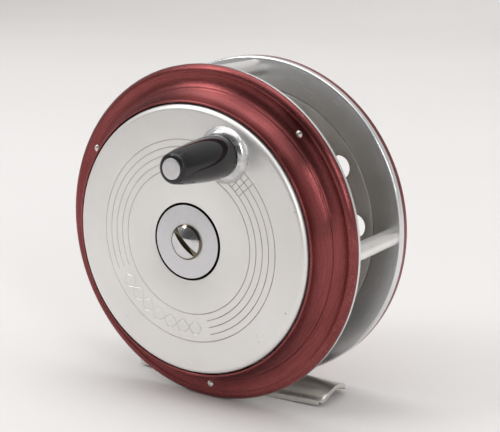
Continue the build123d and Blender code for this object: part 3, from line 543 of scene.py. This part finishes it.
# The hub washer's rim is painted near-black: painted shade of the shadowed gap round it.
inset_metal = turned_metal(
    "inset_metal", (0.66, 0.655, 0.675), (0.74, 0.735, 0.76), 0.36, 0.14, 0.0, 0.08, metal=0.9,
    rim_shade_radius=washer_r - 0.12)
pillar_metal = turned_metal("pillar_metal", (0.88, 0.87, 0.85), (0.95, 0.94, 0.92), 0.3, 0.16, 0.0, 0.12)
rivet_metal = turned_metal("rivet_metal", (0.70, 0.68, 0.63), (0.82, 0.80, 0.76), 0.25, 0.15, 0.0, 0.25)
pin_metal = turned_metal(
    "pin_metal", (0.60, 0.59, 0.60), (0.70, 0.69, 0.71), 0.30, 0.15, 0.0, 0.05, centre=handle, scale=8.0)
brass = turned_metal("machined_brass", (0.58, 0.40, 0.15), (0.74, 0.55, 0.25), 0.22, 0.18, 0.0, 0.2)
steel = turned_metal("plain_steel", (0.42, 0.42, 0.43), (0.55, 0.55, 0.56), 0.24, 0.18, 0.0, 0.2)
chrome = pitted_chrome("pitted_chrome", 1.0, 0.16)
screw_chrome = pitted_chrome("screw_chrome", 0.35, 0.07, washer_front - 0.62)
black = black_gloss()
nickel = worn_nickel()


def build(piece, body, node, material):
    """Puts a finished piece in its CAD node's place."""
    paint(piece, material)
    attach(piece, body)
    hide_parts(node)


# ---- Front cover: stepped red ring ------------------------------------------
def sagged(start, end, sag, steps):
    """Arc between two points that bows by sag to the right of the way from start to end."""
    (ax, ay), (bx, by) = start, end
    span = math.hypot(bx - ax, by - ay)
    middle = ((ax + bx) / 2 + sag * (by - ay) / span, (ay + by) / 2 - sag * (bx - ax) / span)
    return arc(start, middle, end, steps)


def front_cover():
    face = plate_front
    crest = face - COVER_STEP - LEDGE_HEIGHT
    profile = [(rim_r, face)]
    profile += arc(
        (rim_r, face - RIM_FLAT), (rim_r - 0.3 * RIM_ROUND, face - RIM_FLAT - 0.72 * (RIM_TOP - RIM_FLAT)),
        (rim_r - RIM_ROUND, face - RIM_TOP), 12)
    profile += sagged(
        (rim_r - RIM_ROUND - 0.02, face - RIM_TOP), (LEDGE_R + 0.1, face - COVER_STEP), OUTER_COVE, 16)
    profile += arc((LEDGE_R + 0.02, face - COVER_STEP - 0.1), (LEDGE_R - 0.06, crest + 0.3),
                   (LEDGE_R - 0.4, crest), 8)
    profile += sagged((LEDGE_R - 0.45, crest - 0.03), (lip_r + 0.6, lip_y + 0.35), INNER_COVE, 24)
    profile += arc((lip_r + 0.56, lip_y + 0.2), (lip_r + 0.42, lip_y + 0.04), (lip_r + 0.16, lip_y), 6)
    profile += [(lip_r, lip_y + 0.14), (lip_r, face)]
    piece = lathe("front_cover_ring", profile, segments=360, sharp=50)
    seats = [on_circle(RIVET_CIRCLE, angle) for angle in COVER_RIVETS]
    pocket(piece, seats, RIVET_HEAD_R + 0.08, face - HEAD_SEAT, face - 4)
    build(piece, "reel_frame", "front_cover", red)


def rivets(name, node, angles, seat, outward):
    """Domed rivet heads on their circle; outward is -1 at the front and 1 at the back."""
    shank_end = seat - outward * 1.2
    profile = [(0, shank_end), (RIVET_SHANK_R, shank_end), (RIVET_SHANK_R, seat), (RIVET_HEAD_R, seat)]
    profile += cap(RIVET_HEAD_R, seat + outward * 0.25, outward * 0.32, 10)
    bm = bmesh.new()
    for angle in angles:
        turn_profile(bm, profile, on_circle(RIVET_CIRCLE, angle), 40, False)
    build(new_piece(name, bm, 45), "reel_frame", node, rivet_metal)


# ---- Crank disc with its engraving ------------------------------------------
def engraved_band(piece):
    """Twisted pair of fine lines with a small lozenge in each loop, across the blank panel."""
    middle_r = (GROOVES[0] + GROOVES[4]) / 2
    swing = 1.75
    loops = 7
    start, end = PANEL[0] + 5, PANEL[1] - 6
    steps = 30 * loops
    for sign in (-1, 1):
        bm = bmesh.new()
        path = []
        for k in range(steps + 1):
            angle = math.radians(start + (end - start) * k / steps)
            radius = middle_r + sign * swing * math.sin(math.pi * loops * k / steps)
            path.append((radius * math.cos(angle), radius * math.sin(angle)))
        sweep_groove(bm, path, 0.42, 0.1)
        cut(piece, new_piece("cutter", bm))
    bm = bmesh.new()
    for k in range(loops):
        angle = math.radians(start + (end - start) * (k + 0.5) / loops)
        out = Vector((math.cos(angle), math.sin(angle)))
        along = Vector((-math.sin(angle), math.cos(angle)))
        corners = [out * 0.95, along * 0.55, -out * 0.95, -along * 0.55]
        places = [out * middle_r + 1.3 * corner for corner in corners]
        above = [
            bm.verts.new(((hub[0] + place.x) * MM, (disc_face - 0.05) * MM, (hub[1] + place.y) * MM))
            for place in places]
        deep = bm.verts.new((
            (hub[0] + out.x * middle_r) * MM, (disc_face + 0.12) * MM, (hub[1] + out.y * middle_r) * MM))
        bm.faces.new(above)
        for i in range(4):
            bm.faces.new((above[i], above[(i + 1) % 4], deep))
    cut(piece, new_piece("cutter", bm))


def crank_disc():
    recess_r = washer_r + WASHER_GAP
    skirt_r = disc_r - 1.98
    w, d, face = GROOVE_W, GROOVE_D, disc_face

    def trough(radius):
        return [(radius - w / 2, face), (radius - 0.22 * w, face + d),
                (radius + 0.22 * w, face + d), (radius + w / 2, face)]

    outer = rounded([
        (0, 0), (disc_r - 8, face), (disc_r, face, 1.5), (disc_r, gear_rear, 0.2), (skirt_r, gear_rear, 0.2),
        (skirt_r, disc_rear)], 10, closed=False)[1:]
    profile = arc((recess_r, face + 0.2), (recess_r + 0.06, face + 0.06), (recess_r + 0.2, face), 4)
    profile += trough(GROOVES[-1]) + trough(GROOVES[0])
    profile += outer[1:]
    profile += [
        (recess_r + 2, disc_rear), (recess_r + 2, disc_rear + 1), (PRESS_BORE_R, disc_rear + 1),
        (PRESS_BORE_R, disc_rear), (recess_r, disc_rear)]
    piece = lathe("crank_disc_face", profile, segments=360)
    bm = bmesh.new()
    for radius in GROOVES[1:-1]:
        sweep_groove(bm, polar_path(radius, PANEL[1], PANEL[0] + 360, 240), w, d)
    cut(piece, new_piece("cutter", bm))
    for angle in FRET:
        bm = bmesh.new()
        path = [on_circle(GROOVES[3] + (GROOVES[0] - GROOVES[3]) * k / 4, angle, (0, 0)) for k in range(5)]
        sweep_groove(bm, path, w * 0.9, d * 0.8)
        cut(piece, new_piece("cutter", bm))
    engraved_band(piece)
    build(piece, "crank", "crank_disc", disc_metal)


# ---- Hub: washer and slotted screw ------------------------------------------
def slot_cutter(width, floor, top, turn):
    """Block for a screwdriver slot across the hub's axis, turned about it by some degrees."""
    c, s = math.cos(math.radians(turn)), math.sin(math.radians(turn))
    bm = bmesh.new()
    bmesh.ops.create_cube(bm, size=1)
    for vertex in bm.verts:
        x, y, z = vertex.co.x * SLOT_LENGTH, vertex.co.y, vertex.co.z * width
        vertex.co = Vector((
            (hub[0] + x * c - z * s) * MM,
            (floor + (y + 0.5) * (top - floor)) * MM,
            (hub[1] + x * s + z * c) * MM))
    return new_piece("cutter", bm)


def hub_fittings():
    back = high("hub_washer").y
    hole_r = 1.32
    profile = rounded(
        [(hole_r, washer_front), (washer_r, washer_front, 0.3), (washer_r, back), (hole_r, back)], 6)
    washer = lathe("hub_washer_disc", profile, segments=160)
    build(washer, "reel_frame", "hub_washer", inset_metal)
    end = high("hub_screw").y
    shank_r = 1.3
    edge = washer_front - 0.35
    profile = [
        (0, end), (shank_r, end), (shank_r, washer_front), (screw_r - 0.1, washer_front),
        (screw_r, washer_front - 0.1)]
    profile += cap(screw_r, edge, screw_top - edge, 20)
    screw = lathe("hub_screw_dome", profile, segments=128, closed=False)
    cut(screw, slot_cutter(1.6, washer_front - 0.55, screw_top - 1, -44))
    build(screw, "reel_frame", "hub_screw", screw_chrome)
    nut_floor, nut_top = low("spindle_nut").y, high("spindle_nut").y
    nut_r = high("spindle_nut").x
    profile = [(0, nut_floor), (nut_r - 0.1, nut_floor), (nut_r, nut_floor + 0.1)]
    profile += cap(nut_r, nut_floor + 0.4, nut_top - nut_floor - 0.4, 16)
    nut = lathe("spindle_nut_dome", profile, segments=128, closed=False)
    cut(nut, slot_cutter(1.0, nut_top - 0.6, nut_top + 1, 20))
    build(nut, "reel_frame", "spindle_nut", chrome)


# ---- Handle -----------------------------------------------------------------
def handle_pieces():
    base = high("handle_collar").y
    collar_bore_r = 1.25
    profile = [(collar_bore_r, base), (collar_r - 0.1, base), (collar_r, base - 0.1)]
    profile += arc(
        (collar_r, base - 0.3), (collar_r - 0.85, base - 0.3 - 0.72 * (base - collar_top - 0.3)),
        (collar_r - 2.6, collar_top), 14)
    profile += [(collar_bore_r, collar_top)]
    collar = lathe("handle_collar_dome", profile, handle, 128)
    build(collar, "crank", "handle_collar", chrome)

    length = knob_base - knob_end
    tip_r = 3.8
    bore_r = 1.76
    # Radius, and where along the knob it stands.
    outline = [
        (5.6, 0.5 / length), (5.66, 0.18), (5.52, 0.34), (5.1, 0.55), (4.55, 0.78),
        (tip_r + 0.1, 1 - 0.9 / length)]
    side = []
    steps = 28
    for k in range(steps + 1):
        t = outline[0][1] + (outline[-1][1] - outline[0][1]) * k / steps
        # Lagrange curve through the outline's six radii.
        radius = 0
        for i, (ri, ti) in enumerate(outline):
            weight = 1
            for j, (_, tj) in enumerate(outline):
                if i != j:
                    weight *= (t - tj) / (ti - tj)
            radius += ri * weight
        side.append((radius, knob_base - t * length))
    profile = [(bore_r, knob_base)] + arc((5.1, knob_base), (5.45, knob_base - 0.15), side[0], 6)[:-1] + side
    profile += arc(side[-1], (tip_r - 0.2, knob_end + 0.25), (tip_r - 0.55, knob_end), 8)[1:]
    well_r, well_floor = pin_head_r + 0.12, knob_end + 0.85
    profile += [(well_r, knob_end), (well_r, well_floor), (bore_r, well_floor)]
    knob = lathe("handle_knob_grip", profile, handle, 160)
    build(knob, "knob", "handle_knob", black)

    rear_y = high("handle_pin").y
    tail_r, pin_r, head_floor = 1.2, 1.7, pin_end + 0.9
    profile = [
        (0, rear_y), (tail_r, rear_y), (tail_r, collar_top), (pin_r, collar_top), (pin_r, head_floor),
        (pin_head_r, head_floor)]
    profile += arc(
        (pin_head_r, pin_end + 0.2), (pin_head_r - 0.06, pin_end + 0.06), (pin_head_r - 0.2, pin_end), 4)
    profile += [(pin_head_r - 1.2, pin_end), (0, pin_end)]
    pin = lathe("handle_pin_rivet", profile, handle, 96, closed=False)
    build(pin, "crank", "handle_pin", pin_metal)


# ---- Plates, back cover and pillars -----------------------------------------
vent_centres = [
    (hub[0] + VENT_CIRCLE * math.cos(VENT_START + 2 * math.pi * k / VENTS),
     hub[1] + VENT_CIRCLE * math.sin(VENT_START + 2 * math.pi * k / VENTS)) for k in range(VENTS)]


def plates():
    neck_hole = (high("spool_pinion").x - low("spool_pinion").x) / 2 - 1.8
    front = lathe("front_plate_disc", rounded([
        (neck_hole, plate_front), (rim_r, plate_front, 0.2), (rim_r, plate_back, 0.35),
        (neck_hole, plate_back)], 4), segments=360)
    build(front, "reel_frame", "front_plate", plate_metal)

    recess_r = flange_r + 0.3
    floor = back_face + 1.1
    boss_r, boss_y = 5.5, low("back_plate").y
    profile = rounded([
        (SPINDLE_HOLE_R, cover_front), (rim_r, cover_front, 0.15), (rim_r, back_face, 0.6),
        (recess_r, back_face, 0.1), (recess_r, floor), (boss_r, floor, 0.3), (boss_r, boss_y, 0.3),
        (SPINDLE_HOLE_R, boss_y)], 6)
    back = lathe("back_plate_dish", profile, segments=360)
    drill(back, vent_centres, VENT_R, floor, cover_front)
    build(back, "reel_frame", "back_plate", plate_metal)

    field_r = rim_r - 7.2
    field = rear - 0.5
    profile = [(SPINDLE_HOLE_R, cover_front)] + rounded([
        (0, 0), (rim_r, cover_front, 0.15), (rim_r, rear, 0.8), (0, rear)], 8, closed=False)[1:-1]
    profile += arc((field_r + 0.6, rear), (field_r + 0.15, rear - 0.35), (field_r - 0.6, field), 8)
    well_r, well_floor = 6.2, cover_front + 0.6
    profile += rounded(
        [(0, 0), (well_r + 0.4, field, 0.2), (well_r, field + 0.3, 0.1), (well_r, well_floor), (0, 0)],
        3, closed=False)[1:-1]
    profile += [(SPINDLE_HOLE_R, well_floor)]
    cover = lathe("back_cover_disc", profile, segments=360)
    drill(cover, vent_centres, VENT_R, cover_front, field)
    seats = [on_circle(RIVET_CIRCLE, angle) for angle in BACK_RIVETS]
    pocket(cover, seats, RIVET_HEAD_R + 0.06, rear - BACK_HEAD_SEAT, rear + 1)
    build(cover, "reel_frame", "back_cover", red)


def pillars():
    for side in ("right", "top", "left"):
        node = f"pillar_{side}"
        lo, hi = low(node), high(node)
        centre = ((lo.x + hi.x) / 2, (lo.z + hi.z) / 2)
        radius = (hi.x - lo.x) / 2
        neck = PILLAR_NECK_R
        profile = rounded([
            (0, plate_front), (neck, plate_front), (neck, plate_back), (radius, plate_back),
            (radius, back_face), (neck, back_face), (neck, cover_front), (0, cover_front)],
            3, closed=False)
        piece = lathe(f"pillar_{side}_rod", profile, centre, 64, False)
        build(piece, "reel_frame", node, pillar_metal)


# ---- Spool ------------------------------------------------------------------
def spool():
    front = low("spool_front_flange").y
    flange = lathe("spool_front_disc", rounded([
        (PRESS_BORE_R, front), (flange_r, front, 0.3), (flange_r, flange_back, 0.3), (SPIGOT_R, flange_back),
        (SPIGOT_R, flange_back + SPIGOT_H), (16.0, flange_back + SPIGOT_H), (16.0, flange_back),
        (PRESS_BORE_R, flange_back)], 4), segments=300)
    build(flange, "spool", "spool_front_flange", spool_metal)
    back = high("spool_rear_flange").y
    disc = lathe("spool_rear_disc", rounded([
        (16.4, back_face - SPIGOT_H), (SPIGOT_R, back_face - SPIGOT_H), (SPIGOT_R, back_face),
        (flange_r, back_face, 0.12), (flange_r, back, 0.1), (16.4, back)], 3), segments=300)
    drill(disc, vent_centres, VENT_R, back_face, back, 0.12)
    build(disc, "spool", "spool_rear_flange", spool_metal)
    arbor = lathe("spool_arbor_tube", [
        (arbor_r - 1, flange_back), (arbor_r, flange_back), (arbor_r, back_face), (arbor_r - 1, back_face)],
        segments=240)
    build(arbor, "spool", "spool_arbor", spool_metal)


# ---- Foot -------------------------------------------------------------------
def foot():
    lo, hi = low("foot"), high("foot")
    middle_y = (lo.y + hi.y) / 2
    half_length, half_width = hi.x, (hi.y - lo.y) / 2
    end_half = 6.9      # half the width at its ends
    seat_r = 10.5       # hollow that lies on the rod
    thick = 1.3
    corner = 2.6
    straight = 14.0     # full width up to here, and a taper beyond
    seat_rise = seat_r - math.sqrt(seat_r**2 - half_width**2)
    round_r = 0.55

    def half_at(x):
        """Half the foot's width at x, with its taper and its round corners."""
        a = abs(x)
        width = half_width
        if a > straight:
            width -= (half_width - end_half) * (a - straight) / (half_length - straight)
        if a > half_length - corner:
            into = a - (half_length - corner)
            width -= corner - math.sqrt(max(corner**2 - into**2, 0))
        return width

    def arch(y, radius):
        """Height of the foot's arched section."""
        return math.sqrt(radius**2 - y * y) + seat_rise - seat_r

    stations = sorted(set(
        [round(-half_length + corner * (1 - math.cos(math.radians(6 * k))), 4) for k in range(16)]
        + [round(half_length - corner * (1 - math.cos(math.radians(6 * k))), 4) for k in range(16)]
        + [round(-straight + 2 * straight * k / 12, 4) for k in range(13)]))
    across = 20
    bm = bmesh.new()
    sections = []
    for x in stations:
        w = half_at(x)
        under = [(-w + 2 * w * k / across) for k in range(across + 1)]
        loop = [(y, arch(y, seat_r)) for y in under]
        edge_low, edge_high = arch(w, seat_r), arch(w, seat_r + thick)
        side = [
            (w, edge_low + 0.25 * (edge_high - edge_low)), (w, edge_high - round_r),
            (w - 0.1 * round_r, edge_high - 0.5 * round_r), (w - 0.35 * round_r, edge_high - 0.14 * round_r)]
        loop += side
        reach = w - 0.8 * round_r
        top = [reach - 2 * reach * k / across for k in range(across + 1)]
        loop += [(y, arch(y, seat_r + thick)) for y in top]
        loop += [(-y, z) for y, z in reversed(side)]
        sections.append([bm.verts.new((x * MM, (middle_y + y) * MM, z * MM)) for y, z in loop])
    for here, there in zip(sections, sections[1:]):
        for i in range(len(here)):
            j = (i + 1) % len(here)
            bm.faces.new((here[i], here[j], there[j], there[i]))
    bm.faces.new(sections[0])
    bm.faces.new(sections[-1])
    piece = new_piece("foot_saddle", bm)
    bevel = piece.modifiers.new("bevel", "BEVEL")
    bevel.width = 0.25 * MM
    bevel.segments = 3
    bevel.limit_method = "ANGLE"
    bevel.angle_limit = math.radians(50)
    graph = bpy.context.evaluated_depsgraph_get()
    mesh = bpy.data.meshes.new_from_object(piece.evaluated_get(graph))
    piece.modifiers.clear()
    piece.data = mesh
    finish_mesh(piece, 40)
    build(piece, "reel_frame", "foot", nickel)


front_cover()
rivets("cover_rivet_heads", "cover_rivets", COVER_RIVETS, plate_front - HEAD_SEAT, -1)
crank_disc()
hub_fittings()
handle_pieces()
plates()
rivets("back_rivet_heads", "back_cover_rivets", BACK_RIVETS, rear - BACK_HEAD_SEAT, 1)
pillars()
spool()
foot()

# ---- CAD nodes that keep their own shape ------------------------------------
kept = {
    "foot_bridge": nickel, "foot_rivets": rivet_metal, "spindle": steel, "idler_studs": steel,
    "pawl_stud": steel, "check_spring": steel, "spring_posts": steel, "ratchet_wheel": steel,
    "pawl": steel, "ring_gear": brass, "spool_pinion": brass, "idler_gear_1": brass,
    "idler_gear_2": brass, "idler_gear_3": brass, "spool_bush": brass, "crank_bush": brass}
for node, material in kept.items():
    for material_slot in frame["nodes"][node].material_slots:
        material_slot.material = material


# ---- Stage ------------------------------------------------------------------
def stage():
    """Pale floor that sweeps up into a backdrop."""
    m = Nodes("pale_sweep", Roughness=0.9)
    mottle = m.noise(m.object_space, 3, 2)
    m.set(Base_Color=m.ramp(mottle, [(0.3, (0.80, 0.785, 0.775)), (0.7, (0.83, 0.815, 0.808))]))
    bm = bmesh.new()
    half_floor, curve_start, curve_r, top = 4.0, 1.1, 0.8, 3.2
    turns = [math.radians(6 * k) for k in range(16)]
    path = [(-half_floor, 0.0)]
    path += [(curve_start + curve_r * math.sin(a), curve_r - curve_r * math.cos(a)) for a in turns]
    path.append((curve_start + curve_r, top))
    rows = [[bm.verts.new((x, y, z)) for x in (-half_floor, half_floor)] for y, z in path]
    for here, there in zip(rows, rows[1:]):
        bm.faces.new((here[0], here[1], there[1], there[0]))
    sweep = new_piece("sweep", bm, 60)
    paint(sweep, m.material)


def area_light(name, place, target, size, power):
    """Rectangular light in metres and watts, aimed at a point."""
    data = bpy.data.lights.new(name, "AREA")
    data.shape = "RECTANGLE"
    data.size, data.size_y = size
    data.energy = power
    light = bpy.data.objects.new(name, data)
    light.location = place
    light.rotation_euler = (Vector(target) - Vector(place)).to_track_quat("-Z", "Y").to_euler()
    bpy.context.scene.collection.objects.link(light)


stage()
aim = (0.0, 0.01, 0.05)
area_light("overhead", (-0.2, -0.1, 1.2), aim, (1.5, 1.3), 5.4)
area_light("left_key", (-0.9, -0.9, 1.15), aim, (0.4, 0.9), 5.5)
area_light("right_strip", (1.05, -0.75, 0.56), aim, (0.12, 0.7), 3.4)
area_light("backdrop_wash", (0.0, 0.5, 2.2), (0.0, 1.9, 1.0), (3.2, 1.4), 17)


def studio_world():
    """Pale all round, with the dark of the room beyond the lights in front of the reel."""
    world = bpy.data.worlds.new("studio")
    world.use_nodes = True
    nodes, links = world.node_tree.nodes, world.node_tree.links
    background = nodes["Background"]
    background.inputs["Color"].default_value = (1.0, 0.985, 0.975, 1)
    direction = nodes.new("ShaderNodeSeparateXYZ")
    links.new(nodes.new("ShaderNodeTexCoord").outputs["Generated"], direction.inputs[0])
    strength = nodes.new("ShaderNodeMapRange")
    strength.interpolation_type = "SMOOTHSTEP"
    from_low, from_high, to_low, to_high = 1, 2, 3, 4
    for index, value in ((from_low, -0.95), (from_high, -0.1), (to_low, 0.1), (to_high, 0.70)):
        strength.inputs[index].default_value = value
    links.new(direction.outputs["Y"], strength.inputs[0])
    links.new(strength.outputs[0], background.inputs["Strength"])
    bpy.context.scene.world = world


studio_world()
bpy.context.scene.view_settings.view_transform = "Standard"

# ---- Camera: its stand-off is in rim radii, from the ring's centre -----------
ring_centre = Vector((hub[0], plate_front, hub[1])) * MM
stand_off = Vector((4.051, -5.799, 1.768)) * rim_r * MM
camera_data = bpy.data.cameras.new("camera")
camera_data.lens = 89.4
camera_data.sensor_width = 36
camera = bpy.data.objects.new("camera", camera_data)
camera.location = ring_centre + stand_off
camera.rotation_euler = Vector((-0.5294, 0.8171, -0.2282)).to_track_quat("-Z", "Y").to_euler()
bpy.context.scene.collection.objects.link(camera)
bpy.context.scene.camera = camera
